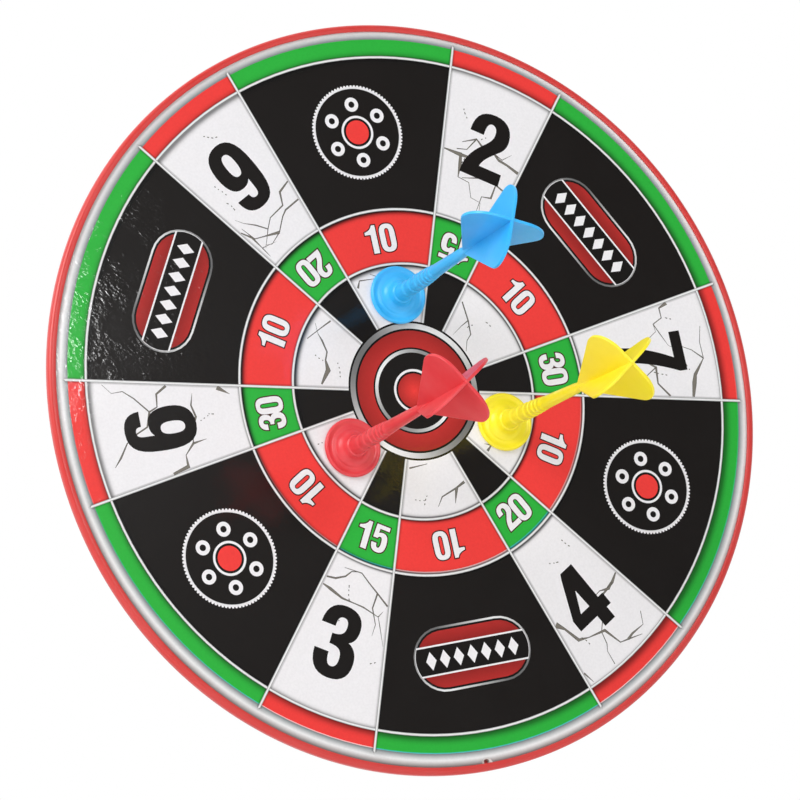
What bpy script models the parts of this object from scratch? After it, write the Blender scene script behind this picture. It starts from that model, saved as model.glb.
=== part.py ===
"""Round target board with three suction darts, in metres.

The board hangs upright: +Z is up, the printed face looks along -Y, and the origin is the centre of the
plane where the edge trim meets the wall. The board is built lying on its back (x right, y up, z out of the
face) under an empty that stands it upright. Each dart is built standing on its cup, under an empty on its
own axis.
"""

import math

import bmesh
import bpy

# Overall size and clearances
OVERALL_DIAMETER = 0.360
FIT_GAP = 0.0003
GLUE_LINE = 0.0001

# Layers of the board
CORE_THICKNESS = 0.0020
PRINT_THICKNESS = 0.0003
BACK_THICKNESS = 0.0003

# Red channel round the edge
TRIM_WALL = 0.0012
TRIM_LIP_THICKNESS = 0.0010
TRIM_FRONT_LIP = 0.0036
TRIM_REAR_LIP = 0.0065
TRIM_EDGE_RADIUS = 0.0020
TRIM_SEAM_GAP = 0.0005
TRIM_SEAM_ANGLE = math.radians(178.1)

# Small hole at the lower edge, half under the trim, and the nick of the print around it
HOLE_DIAMETER = 0.0030
NICK_DIAMETER = 0.0056
HOLE_ANGLE = math.radians(181.2)
HOLE_INSIDE_LIP = 0.0021
NICK_INSIDE_LIP = 0.0026

# Suction cup and its ribbed neck
CUP_DIAMETER = 0.0280
CUP_RIM_THICKNESS = 0.0018
CUP_RIM_WIDTH = 0.0017
CUP_RIM_ROUND = 0.0005
CUP_SEAL_WIDTH = 0.0012
CUP_HOLLOW_DEPTH = 0.0011
CUP_DISH_HEIGHT = 0.0013
FLARE_WIDTH = 0.0050
FLARE_FALL = 0.0036
NECK_LENGTH = 0.0465
NECK_DIAMETER = 0.0071
NECK_END_DIAMETER = 0.0061
NECK_TAPER_START = 0.0300
NECK_TAPER_POWER = 1.6
RIB_HEIGHT = 0.0007
RIB_START = 0.0034
NECK_PLAIN_END = 0.0010

# Shaft with its plug, and the crossed fins
DART_LENGTH = 0.1361
PLUG_DIAMETER = 0.0038
PLUG_LENGTH = 0.0200
SHAFT_DIAMETER = 0.0062
SHAFT_END_DIAMETER = 0.0050
TAIL_DIAMETER = 0.0019
TAIL_START_SHARE = 0.30
TAIL_BOSS = 0.0006
FLIGHT_LENGTH = 0.0574
FIN_SPAN = 0.0194
FIN_THICKNESS = 0.0014
FIN_CORNER_RADIUS = 0.0118

# Where each dart stands on the face (right, up) and how its fins are turned
DART_PLACES = {
    "blue": (0.0029, 0.0473, math.radians(67)),
    "red": (-0.0369, -0.0209, math.radians(33)),
    "yellow": (0.0431, -0.0203, math.radians(35)),
}

# Valleys between the ribs as shares of the ribbed run, wider apart near the cup
RIB_VALLEYS = (0, 0.08, 0.26, 0.43, 0.59, 0.70, 0.80, 0.90, 1)

# Shape of one rib, from its upper valley down, as (share of its length, share of the height),
# and of the hollow under the cup, as (share of its radius, share of its depth)
RIB_SHAPE = ((0.98, 0.0), (0.84, 1.0), (0.35, 0.5))
HOLLOW_SHAPE = ((1.0, 0.0), (0.6, 0.7), (0.0, 1.0))

# How finely the round shapes are cut
BOARD_STEPS = 96
DART_STEPS = 28
HOLE_STEPS = 16
ROUND_STEPS = 4
FLARE_POINTS = 4

# Sizes that follow from those above
OVERALL_RADIUS = OVERALL_DIAMETER / 2
BOARD_RADIUS = OVERALL_RADIUS - TRIM_WALL - FIT_GAP
BACK_Z = TRIM_LIP_THICKNESS + FIT_GAP
CORE_Z = BACK_Z + BACK_THICKNESS + GLUE_LINE
PRINT_Z = CORE_Z + CORE_THICKNESS + GLUE_LINE
FACE_Z = PRINT_Z + PRINT_THICKNESS
TRIM_DEPTH = FACE_Z + FIT_GAP + TRIM_LIP_THICKNESS
FRONT_LIP_RADIUS = OVERALL_RADIUS - TRIM_FRONT_LIP
DART_Z = FACE_Z + FIT_GAP

COLOURS = {
    "core": (0.80, 0.78, 0.74, 0.9, 0.0),
    "print": (0.88, 0.87, 0.88, 0.25, 0.0),
    "back": (0.82, 0.81, 0.79, 0.8, 0.0),
    "trim": (0.78, 0.07, 0.07, 0.4, 0.0),
    "blue": (0.06, 0.45, 0.95, 0.45, 0.0),
    "red": (0.85, 0.07, 0.09, 0.45, 0.0),
    "yellow": (0.93, 0.76, 0.02, 0.45, 0.0),
}


def clear_scene():
    for item in list(bpy.data.objects):
        bpy.data.objects.remove(item, do_unlink=True)


def material(name):
    red, green, blue, roughness, metallic = COLOURS[name]
    found = bpy.data.materials.new(name)
    found.use_nodes = True
    shader = found.node_tree.nodes["Principled BSDF"]
    shader.inputs["Base Color"].default_value = (red, green, blue, 1.0)
    shader.inputs["Roughness"].default_value = roughness
    shader.inputs["Metallic"].default_value = metallic
    return found


def empty(name, parent=None, location=(0, 0, 0), rotation=(0, 0, 0)):
    made = bpy.data.objects.new(name, None)
    made.parent = parent
    made.location = location
    made.rotation_euler = rotation
    bpy.context.scene.collection.objects.link(made)
    return made


def piece(name, mesh, finish, parent=None, turn=0.0):
    """An object for one physical piece, placed under its parent."""
    made = bpy.data.objects.new(name, mesh)
    made.parent = parent
    made.rotation_euler = (0, 0, turn)
    mesh.materials.clear()
    mesh.materials.append(finish)
    mesh.shade_smooth()
    mesh.set_sharp_from_angle(angle=math.radians(35))
    bpy.context.scene.collection.objects.link(made)
    return made


def cutter(name, mesh):
    """A helper object that only shapes others."""
    made = bpy.data.objects.new(name, mesh)
    made.hide_render = True
    made.display_type = "WIRE"
    bpy.context.scene.collection.objects.link(made)
    return made


def mesh_from(shape, name):
    """Closes a bmesh, points its faces outwards and makes it a mesh."""
    bmesh.ops.remove_doubles(shape, verts=shape.verts, dist=1e-7)
    bmesh.ops.recalc_face_normals(shape, faces=shape.faces)
    mesh = bpy.data.meshes.new(name)
    shape.to_mesh(mesh)
    shape.free()
    return mesh


def turned(name, profile, steps):
    """A profile of (radius, height) points, from axis to axis, turned about z."""
    shape = bmesh.new()
    points = [shape.verts.new((radius, 0, height)) for radius, height in profile]
    edges = [shape.edges.new(pair) for pair in zip(points, points[1:])]
    around = {"cent": (0, 0, 0), "axis": (0, 0, 1), "angle": math.tau, "steps": steps}
    bmesh.ops.spin(shape, geom=points + edges, use_merge=False, **around)
    return mesh_from(shape, name)


def plate(name, outline, thickness):
    """A flat outline of (x, z) points given a thickness along y, centred on y = 0."""
    shape = bmesh.new()
    face = shape.faces.new([shape.verts.new((x, -thickness / 2, z)) for x, z in outline])
    grown = bmesh.ops.extrude_face_region(shape, geom=[face])["geom"]
    moved = [item for item in grown if isinstance(item, bmesh.types.BMVert)]
    bmesh.ops.translate(shape, verts=moved, vec=(0, thickness, 0))
    return mesh_from(shape, name)


def arc(centre, radius, start, end, steps):
    """Points of a circle from one angle to another, both ends included."""
    turns = [start + (end - start) * step / steps for step in range(steps + 1)]
    return [(centre[0] + radius * math.cos(turn), centre[1] + radius * math.sin(turn)) for turn in turns]


def combined(name, base, others, operation):
    """The mesh of a base after a Boolean with each of the others, which are then removed."""
    body = cutter(name, base)
    helpers = [cutter(f"{name}_helper_{number}", mesh) for number, mesh in enumerate(others)]
    for helper in helpers:
        step = body.modifiers.new(helper.name, "BOOLEAN")
        step.operation = operation
        step.object = helper
    graph = bpy.context.evaluated_depsgraph_get()
    mesh = bpy.data.meshes.new_from_object(body.evaluated_get(graph))
    for item in [body, *helpers]:
        bpy.data.objects.remove(item, do_unlink=True)
    mesh.name = name
    return mesh


def on_face(radius, angle):
    """A place on the board's face, by its distance from the centre and its angle clockwise from the top."""
    return radius * math.sin(angle), radius * math.cos(angle)


def disc(name, low, high):
    profile = [(0, low), (BOARD_RADIUS, low), (BOARD_RADIUS, high), (0, high)]
    return turned(name, profile, BOARD_STEPS)


def hole_cutter(name, diameter, inside_lip):
    """A round rod through the board, of which a set height shows inside the trim's front lip."""
    radius = diameter / 2
    low, high = -FIT_GAP, TRIM_DEPTH
    mesh = turned(name, [(0, low), (radius, low), (radius, high), (0, high)], HOLE_STEPS)
    x, y = on_face(FRONT_LIP_RADIUS - inside_lip + radius, HOLE_ANGLE)
    for vertex in mesh.vertices:
        vertex.co.x += x
        vertex.co.y += y
    return mesh


def layer(name, low, thickness, hole):
    """One glued layer of the board, with its hole."""
    return combined(name, disc(name, low, low + thickness), [hole], "DIFFERENCE")


def trim_section():
    """The channel's section as (radius, height) points: rounded outside, with a square slot for the board."""
    corner = TRIM_EDGE_RADIUS
    middle = OVERALL_RADIUS - corner
    slot = OVERALL_RADIUS - TRIM_WALL
    section = [(OVERALL_RADIUS - TRIM_REAR_LIP, 0)]
    section += arc((middle, corner), corner, -math.pi / 2, 0, ROUND_STEPS)
    section += arc((middle, TRIM_DEPTH - corner), corner, 0, math.pi / 2, ROUND_STEPS)
    section += [
        (FRONT_LIP_RADIUS, TRIM_DEPTH),
        (FRONT_LIP_RADIUS, TRIM_DEPTH - TRIM_LIP_THICKNESS),
        (slot, TRIM_DEPTH - TRIM_LIP_THICKNESS),
        (slot, TRIM_LIP_THICKNESS),
        (OVERALL_RADIUS - TRIM_REAR_LIP, TRIM_LIP_THICKNESS),
    ]
    return section


def edge_trim_mesh():
    """The section swept once round the board, open by a narrow gap where the strip's two ends meet."""
    half_gap = TRIM_SEAM_GAP / 2 / OVERALL_RADIUS
    start = TRIM_SEAM_ANGLE + half_gap
    sweep = math.tau - 2 * half_gap
    section = trim_section()
    shape = bmesh.new()
    rings = []
    for step in range(BOARD_STEPS + 1):
        angle = start + sweep * step / BOARD_STEPS
        rings.append([shape.verts.new((*on_face(radius, angle), height)) for radius, height in section])
    for ring, following in zip(rings, rings[1:]):
        for this in range(len(section)):
            after = (this + 1) % len(section)
            shape.faces.new((ring[this], ring[after], following[after], following[this]))
    shape.faces.new(rings[0])
    shape.faces.new(reversed(rings[-1]))
    return mesh_from(shape, "edge_trim")


def neck_radius(height):
    """The neck's radius without its ribs: a flare off the dish, a straight run, and a taper to the open end."""
    along = max(0.0, height - NECK_TAPER_START) / (NECK_LENGTH - NECK_TAPER_START)
    drop = (NECK_DIAMETER - NECK_END_DIAMETER) / 2 * along**NECK_TAPER_POWER
    flare = FLARE_WIDTH * math.exp((CUP_DISH_HEIGHT - height) / FLARE_FALL)
    return NECK_DIAMETER / 2 - drop + flare


def neck_points():
    """The neck's outside from its open end down to the cup: ribs, then a smooth flare."""
    points = [(NECK_END_DIAMETER / 2, NECK_LENGTH)]
    ribbed = NECK_LENGTH - NECK_PLAIN_END - RIB_START
    valleys = [RIB_START + ribbed * share for share in RIB_VALLEYS]
    for low, high in reversed(list(zip(valleys, valleys[1:]))):
        for share, rise in RIB_SHAPE:
            height = low + (high - low) * share
            points.append((neck_radius(height) + rise * RIB_HEIGHT, height))
    for number in range(FLARE_POINTS):
        height = RIB_START + (CUP_DISH_HEIGHT - RIB_START) * number / (FLARE_POINTS - 1)
        points.append((neck_radius(height), height))
    return points


def suction_cup_mesh():
    """Cup and ribbed neck in one moulding, with a socket for the plug and a shallow hollow under the cup."""
    bore = PLUG_DIAMETER / 2 + FIT_GAP
    bore_floor = NECK_LENGTH - PLUG_LENGTH - FIT_GAP
    rim = CUP_DIAMETER / 2
    hollow = rim - CUP_SEAL_WIDTH
    rim_rise = CUP_RIM_THICKNESS - CUP_DISH_HEIGHT
    profile = [(0, bore_floor), (bore, bore_floor), (bore, NECK_LENGTH)]
    profile += neck_points()
    profile += [
        (rim - CUP_RIM_WIDTH - rim_rise, CUP_DISH_HEIGHT),
        (rim - CUP_RIM_WIDTH, CUP_RIM_THICKNESS),
        (rim - CUP_RIM_ROUND, CUP_RIM_THICKNESS),
        (rim, CUP_RIM_THICKNESS - CUP_RIM_ROUND),
        (rim, CUP_RIM_ROUND),
        (rim - CUP_RIM_ROUND, 0),
    ]
    profile += [(hollow * across, CUP_HOLLOW_DEPTH * deep) for across, deep in HOLLOW_SHAPE]
    return turned("suction_cup", profile, DART_STEPS)


def fin_outline():
    """Two opposite fins as one (x, z) outline: a straight leading edge into a large round corner."""
    root = DART_LENGTH - FLIGHT_LENGTH
    centre = (FIN_SPAN - FIN_CORNER_RADIUS, DART_LENGTH - FIN_CORNER_RADIUS)
    reach = math.hypot(centre[0], centre[1] - root)
    lean = math.atan2(centre[0], centre[1] - root) + math.asin(FIN_CORNER_RADIUS / reach)
    corner = arc(centre, FIN_CORNER_RADIUS, -lean, math.pi / 2, 2 * ROUND_STEPS)
    mirrored = [(-x, z) for x, z in reversed(corner)]
    return [(0, root), *corner, *mirrored]


def shaft_flight_mesh():
    """Plug, tapering shaft and crossed fins in one moulding."""
    shoulder = NECK_LENGTH + FIT_GAP
    root = DART_LENGTH - FLIGHT_LENGTH
    plug = PLUG_DIAMETER / 2
    tail = TAIL_DIAMETER / 2
    profile = [
        (0, NECK_LENGTH - PLUG_LENGTH),
        (plug, NECK_LENGTH - PLUG_LENGTH),
        (plug, shoulder),
        (SHAFT_DIAMETER / 2, shoulder),
        (SHAFT_END_DIAMETER / 2, root),
        (tail, root + FLIGHT_LENGTH * TAIL_START_SHARE),
        (tail, DART_LENGTH),
        (tail / 2, DART_LENGTH + TAIL_BOSS),
        (0, DART_LENGTH + TAIL_BOSS),
    ]
    shaft = turned("shaft", profile, DART_STEPS)
    pair = plate("fin_pair", fin_outline(), FIN_THICKNESS)
    crossed = plate("crossed_fin_pair", fin_outline(), FIN_THICKNESS)
    for vertex in crossed.vertices:
        vertex.co.xy = (-vertex.co.y, vertex.co.x)
    return combined("shaft_flight", shaft, [pair, crossed], "UNION")


def build_board(stand):
    hole = hole_cutter("hole", HOLE_DIAMETER, HOLE_INSIDE_LIP)
    nick = hole_cutter("nick", NICK_DIAMETER, NICK_INSIDE_LIP)
    core = layer("board_core", CORE_Z, CORE_THICKNESS, hole)
    back = layer("back_sheet", BACK_Z, BACK_THICKNESS, hole)
    face = layer("front_print_sheet", PRINT_Z, PRINT_THICKNESS, nick)
    piece("board_core", core, material("core"), stand)
    piece("back_sheet", back, material("back"), stand)
    piece("front_print_sheet", face, material("print"), stand)
    piece("edge_trim", edge_trim_mesh(), material("trim"), stand)


def build_darts(stand):
    cup = suction_cup_mesh()
    body = shaft_flight_mesh()
    for colour, (right, up, turn) in DART_PLACES.items():
        axis = empty(f"{colour}_dart_axis", stand, (right, up, DART_Z))
        finish = material(colour)
        piece(f"{colour}_suction_cup", cup.copy(), finish, axis)
        piece(f"{colour}_shaft_flight", body.copy(), finish, axis, turn)


def main():
    clear_scene()
    stand = empty("board_stand", rotation=(math.pi / 2, 0, 0))
    build_board(stand)
    build_darts(stand)


if __name__ == "__main__":
    main()
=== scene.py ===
"""Looks of a round target board with three suction darts, built round its packed frame.

The file is laid out as an add-on and is run as a script. Everything is in metres, in the frame of the packed
model: +Z is up and the printed face looks along -Y. The artwork is laid out in print units, which are the
radius of the wire circle inside the double ring, with angles in degrees clockwise from the top.
"""

import math
import random

import bmesh
import bpy
from bpy.props import FloatProperty, FloatVectorProperty, IntProperty, PointerProperty
from mathutils import Matrix, Vector
from mathutils.geometry import delaunay_2d_cdt


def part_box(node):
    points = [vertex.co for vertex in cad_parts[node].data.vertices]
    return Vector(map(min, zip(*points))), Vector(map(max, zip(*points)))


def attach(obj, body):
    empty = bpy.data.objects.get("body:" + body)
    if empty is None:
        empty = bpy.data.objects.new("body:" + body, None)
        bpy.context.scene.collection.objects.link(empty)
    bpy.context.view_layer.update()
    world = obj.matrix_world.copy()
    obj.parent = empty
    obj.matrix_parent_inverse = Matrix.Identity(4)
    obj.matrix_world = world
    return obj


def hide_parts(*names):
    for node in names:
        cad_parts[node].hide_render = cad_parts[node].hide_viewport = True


bl_info = {
    "name": "Suction Dart Target",
    "version": (1, 0, 0),
    "blender": (4, 5, 0),
    "location": "3D View > Sidebar > Dart Target",
    "description": "Finishes a printed target board and its three suction darts round their packed frame",
    "category": "Object",
}

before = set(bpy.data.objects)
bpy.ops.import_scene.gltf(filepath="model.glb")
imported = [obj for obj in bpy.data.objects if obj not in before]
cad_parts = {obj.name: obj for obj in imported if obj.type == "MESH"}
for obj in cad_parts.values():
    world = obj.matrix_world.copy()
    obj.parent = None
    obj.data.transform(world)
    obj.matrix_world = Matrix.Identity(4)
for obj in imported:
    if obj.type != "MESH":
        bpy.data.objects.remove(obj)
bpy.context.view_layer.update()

# Places taken from the packed model
SHEET_LOW, SHEET_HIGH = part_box("front_print_sheet")
FACE_Y = SHEET_LOW.y
SHEET_BACK_Y = SHEET_HIGH.y
SHEET_RADIUS = (SHEET_HIGH.x - SHEET_LOW.x) / 2
TRIM_LOW, TRIM_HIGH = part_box("edge_trim")
TRIM_DEPTH = TRIM_HIGH.y - TRIM_LOW.y
CUP_LOW, CUP_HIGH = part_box("blue_suction_cup")
NECK_LENGTH = CUP_HIGH.y - CUP_LOW.y
DART_LENGTH = CUP_HIGH.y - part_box("blue_shaft_flight")[0].y

# Turns the lying board (x right, y up, z out of the face) upright
UPRIGHT = Matrix.Rotation(math.pi / 2, 4, "X")
MERGE_DISTANCE = 1e-6


def screen(red, green, blue):
    """A colour given by its sRGB levels on screen, 0 to 255, as linear light."""
    levels = [level / 255 for level in (red, green, blue)]
    return tuple(level / 12.92 if level <= 0.04045 else ((level + 0.055) / 1.055) ** 2.4 for level in levels)


def grey(level):
    return screen(level, level, level)


def scaled(colour, factor):
    return tuple(part * factor for part in colour)


def blended(first, second, part):
    return tuple(a + (b - a) * part for a, b in zip(first, second))


# Settings that a user would change


def length(name, description, default):
    return FloatProperty(name=name, description=description, default=default, unit="LENGTH", precision=5)


def colour(name, description, default):
    return FloatVectorProperty(
        name=name, description=description, default=default, subtype="COLOR", size=3, min=0.0, max=1.0
    )


def share(name, description, default):
    return FloatProperty(
        name=name, description=description, default=default, min=0.0, max=1.0, subtype="FACTOR"
    )


def power(name, description, default):
    return FloatProperty(name=name, description=description, default=default, unit="POWER")


class PrintSettings(bpy.types.PropertyGroup):
    """Layout and inks of the printed face."""

    unit: length("Wire circle", "Radius of the wire inside the double ring, the unit of the print", 0.1627)
    right: length("Shift right", "How far the print sits right of the board's centre", 0.0010)
    up: length("Shift up", "How far the print sits above the board's centre", 0.00125)
    white: colour("White", "Bare paper of the narrow outer fields", screen(238, 236, 238))
    black: colour("Black", "Ink of the wide outer fields", screen(19, 15, 13))
    red: colour("Red", "Ink of the red fields", screen(238, 62, 58))
    green: colour("Green", "Ink of the green fields", screen(42, 176, 60))
    crack: colour("Cracks", "Ink inside the printed cracks", screen(122, 117, 108))
    crack_seed: IntProperty(name="Crack layout", description="Which layout of cracks is drawn", default=11)
    gloss: share("Roughness", "Roughness of the print under its film", 0.32)
    film: share("Film roughness", "Roughness of the film over the print", 0.08)


class TrimSettings(bpy.types.PropertyGroup):
    """Section and colour of the edge trim."""

    radius: length("Outer radius", "Radius of the trim's outside", 0.180)
    wall: length("Wall", "Thickness of the trim's outer wall", 0.0012)
    lip: length("Lip thickness", "Thickness of the two lips", 0.0010)
    front: length("Front lip", "How far the front lip reaches in from the outside", 0.0036)
    rear: length("Rear lip", "How far the rear lip reaches in from the outside", 0.0065)
    corner: length("Corner", "Radius of the two outer corners", 0.0020)
    seam: length("Seam", "Gap where the strip's two ends meet", 0.00012)
    colour: colour("Colour", "Colour of the trim", screen(208, 54, 50))


class DartSettings(bpy.types.PropertyGroup):
    """Shapes and colours of the darts."""

    cup: length("Cup", "Diameter of the suction cup", 0.0280)
    neck: length("Neck", "Diameter of the neck's straight run between its ribs", 0.0070)
    neck_end: length("Neck end", "Diameter of the neck where the shaft leaves it", 0.0060)
    rib_height: length("Rib height", "How far the neck's ribs stand out", 0.00050)
    plug: length("Plug", "Diameter of the plug inside the neck", 0.0038)
    plug_length: length("Plug length", "How deep the plug goes into the neck", 0.0200)
    shaft: length("Shaft", "Diameter of the shaft where it leaves the neck", 0.0062)
    shaft_end: length("Shaft end", "Diameter of the shaft where the fins start", 0.0050)
    tail: length("Tail", "Diameter of the core between the fins at the tail", 0.0018)
    flight: length("Flight length", "Length of the fins along the axis", 0.0574)
    span: length("Fin span", "Reach of a fin from the axis", 0.0194)
    fin: length("Fin thickness", "Thickness of a fin", 0.0014)
    corner: length("Fin corner", "Radius of a fin's outer corner", 0.0118)
    blue: colour("Blue", "Plastic of the blue dart", screen(46, 186, 255))
    red: colour("Red", "Plastic of the red dart", screen(229, 56, 64))
    yellow: colour("Yellow", "Plastic of the yellow dart", screen(255, 236, 22))


class StageSettings(bpy.types.PropertyGroup):
    """Floor, light and camera."""

    floor: length("Floor level", "Height of the floor under the board's centre", -0.46)
    pale: colour("Floor", "Colour of the floor", screen(236, 236, 236))
    key: power("Key light", "Power of the large soft light", 96.0)
    fill: power("Fill light", "Power of the weaker soft light", 28.0)
    glint: power("Glint light", "Power of the small front light", 7.0)
    lens: FloatProperty(
        name="Lens", description="Focal length on a 36 mm sensor", default=181.35, unit="CAMERA"
    )


# Patterns of the materials: sizes of their spots and depths of their unevenness, in metres
PRINT_MOTTLE = 0.0011
PRINT_SCUFFS = 0.0016
PRINT_PATCHES = 0.018
FILM_STREAKS = 0.0014
FILM_GATHERING = 0.010
FILM_UNEVENNESS = 0.000072
TRIM_WEAR = 0.030
TRIM_SATIN = 0.012
TRIM_SKIN = 0.0040
TRIM_UNEVENNESS = 0.000006
DART_DRIFT = 0.016
DART_SATIN = 0.0030
DART_SKIN = 0.0016
DART_UNEVENNESS = 0.000004
FIBRE_CLOUD = 0.030
FIBRE_UNEVENNESS = 0.00003
FLOOR_CLOUD = 0.35

# How far the print's roughness changes in patches, and how the film's streaks are turned, in degrees
PATCH_CHANGE = 0.03
FILM_STREAK_TURN = 45.0

# Roughness of satin plastic, from its smoothest to its roughest spots
SATIN = {"low": 0.29, "high": 0.35}

# Mesh attribute that carries the printed colours
INK_LAYER = "ink"


def add_node(tree, kind, *inputs, settings=None, **named_inputs):
    """A node with settings, whose inputs, by order or by name, take a value or a link from a socket."""
    made = tree.nodes.new(kind)
    for name, value in (settings or {}).items():
        setattr(made, name, value)
    named = {name.replace("_", " "): value for name, value in named_inputs.items()}
    for key, value in [*enumerate(inputs), *named.items()]:
        if isinstance(value, bpy.types.NodeSocket):
            tree.links.new(value, made.inputs[key])
        else:
            made.inputs[key].default_value = value
    return made


class Finish:
    """A material in the making: its node tree, its shader and the coordinates that its patterns read."""

    def __init__(self, name):
        self.material = bpy.data.materials.new(name)
        self.material.use_nodes = True
        self.tree = self.material.node_tree
        self.shader = self.tree.nodes["Principled BSDF"]
        self.place = self.node("ShaderNodeTexCoord").outputs["Object"]

    def node(self, kind, *inputs, **named):
        return add_node(self.tree, kind, *inputs, **named)

    def set(self, **sockets):
        """Sets shader sockets that are the same all over."""
        for name, value in sockets.items():
            self.shader.inputs[name.replace("_", " ")].default_value = value

    def noise(self, grain, detail=2.0, stretch=(1.0, 1.0, 1.0), turn=0.0):
        """Noise with spots of about the grain, in metres, stretched along axes that are turned about y."""
        turning = {"rotation_type": "Y_AXIS"}
        scale = [1 / (grain * factor) for factor in stretch]
        turned = self.node(
            "ShaderNodeVectorRotate", settings=turning, Vector=self.place, Angle=math.radians(turn)
        )
        mapping = self.node("ShaderNodeMapping", Vector=turned.outputs["Vector"], Scale=scale)
        made = self.node("ShaderNodeTexNoise", Vector=mapping.outputs["Vector"], Scale=1.0, Detail=detail)
        return made.outputs["Fac"]

    def ranged(self, source, low, high, start=0.3, end=0.7):
        """The source stretched so that start becomes low and end becomes high."""
        limits = {"From_Min": start, "From_Max": end, "To_Min": low, "To_Max": high}
        return self.node("ShaderNodeMapRange", Value=source, **limits).outputs["Result"]

    def mixed(self, factor, first, second):
        """A colour between the two."""
        made = self.node("ShaderNodeMix", settings={"data_type": "RGBA"}, Factor=factor)
        sockets = [socket for socket in made.inputs if socket.type == "RGBA"]
        for socket, value in zip(sockets, (first, second)):
            socket.default_value = (*value, 1.0)
        return next(socket for socket in made.outputs if socket.type == "RGBA")

    def tinted(self, source, factor):
        """A colour socket times a value socket."""
        made = self.node("ShaderNodeVectorMath", source, settings={"operation": "SCALE"}, Scale=factor)
        return made.outputs["Vector"]

    def joined(self, operation, first, second):
        """Two value sockets added, multiplied or the like."""
        return self.node("ShaderNodeMath", first, second, settings={"operation": operation}).outputs["Value"]

    def to(self, socket, source):
        self.tree.links.new(source, self.shader.inputs[socket])

    def bump(self, height, depth, socket="Normal"):
        """Unevenness as deep as the given depth, in metres."""
        made = self.node("ShaderNodeBump", Height=height, Distance=depth, Strength=1.0)
        self.to(socket, made.outputs["Normal"])


def laminated_print(roughness, film):
    """Printed paper under a glossy film: ink from the sheet's own attribute, film ripple and light scuffs."""
    finish = Finish("laminated_print")
    ink = finish.node("ShaderNodeVertexColor")
    ink.layer_name = INK_LAYER
    mottle = finish.ranged(finish.noise(PRINT_MOTTLE, detail=3.0), low=0.965, high=1.02)
    finish.to("Base Color", finish.tinted(ink.outputs["Color"], mottle))
    scuffs = finish.noise(PRINT_SCUFFS, detail=4.0, stretch=(1.0, 1.0, 7.0))
    scuffs = finish.ranged(scuffs, low=0.0, high=0.07, start=0.55, end=0.75)
    patches = finish.noise(PRINT_PATCHES)
    patches = finish.ranged(patches, low=roughness - PATCH_CHANGE, high=roughness + PATCH_CHANGE)
    finish.to("Roughness", finish.joined("ADD", patches, scuffs))
    finish.set(Specular_IOR_Level=0.1, Coat_Weight=0.8, Coat_Roughness=film)
    streaks = finish.noise(FILM_STREAKS, stretch=(1.0, 1.0, 1.9), turn=FILM_STREAK_TURN)
    gathered = finish.ranged(finish.noise(FILM_GATHERING), low=0.35, high=1.0, start=0.38, end=0.60)
    finish.bump(finish.joined("MULTIPLY", streaks, gathered), FILM_UNEVENNESS, "Coat Normal")
    return finish.material


def trim_plastic(base):
    """Soft extruded plastic: satin, with slightly paler worn patches and fine draw unevenness."""
    finish = Finish("trim_plastic")
    wear = finish.ranged(finish.noise(TRIM_WEAR, detail=3.0), low=0.0, high=1.0, start=0.35, end=0.75)
    finish.to("Base Color", finish.mixed(wear, base, blended(base, grey(255), 0.02)))
    finish.to("Roughness", finish.ranged(finish.noise(TRIM_SATIN, detail=3.0), **SATIN))
    finish.set(Subsurface_Weight=0.04, Subsurface_Radius=(0.0012, 0.0004, 0.0003))
    finish.bump(finish.noise(TRIM_SKIN, detail=1.0), TRIM_UNEVENNESS)
    return finish.material


def dart_plastic(name, base):
    """Soft moulded plastic with a satin skin: light sinks in a little, and the tone drifts across it."""
    finish = Finish(name)
    drift = finish.ranged(finish.noise(DART_DRIFT, detail=3.0), low=0.0, high=1.0)
    finish.to("Base Color", finish.mixed(drift, scaled(base, 0.95), blended(base, grey(255), 0.035)))
    finish.to("Roughness", finish.ranged(finish.noise(DART_SATIN, detail=3.0), **SATIN))
    finish.set(Subsurface_Weight=0.12, Subsurface_Radius=(0.0010, 0.0009, 0.0009))
    finish.bump(finish.noise(DART_SKIN, detail=1.0), DART_UNEVENNESS)
    return finish.material


def fibre_board(name, pale, dark, grain):
    """Uncoated paperboard: fibre flecks, cloudy tone and a felt-like surface."""
    finish = Finish(name)
    flecks = finish.noise(grain, detail=5.0, stretch=(1.0, 1.0, 3.0))
    flecks = finish.ranged(flecks, low=0.0, high=1.0, start=0.35, end=0.75)
    cloud = finish.ranged(finish.noise(FIBRE_CLOUD, detail=3.0), low=0.96, high=1.03)
    finish.to("Base Color", finish.tinted(finish.mixed(flecks, pale, dark), cloud))
    finish.to("Roughness", finish.ranged(finish.noise(grain * 2, detail=3.0), low=0.68, high=0.86))
    finish.bump(finish.noise(grain, detail=4.0), FIBRE_UNEVENNESS)
    return finish.material


def floor_paint(base):
    finish = Finish("floor_paint")
    cloud = finish.ranged(finish.noise(FLOOR_CLOUD, detail=3.0), low=0.0, high=1.0)
    finish.to("Base Color", finish.mixed(cloud, scaled(base, 0.985), base))
    finish.set(Roughness=0.9)
    return finish.material


# Node trees


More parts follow.
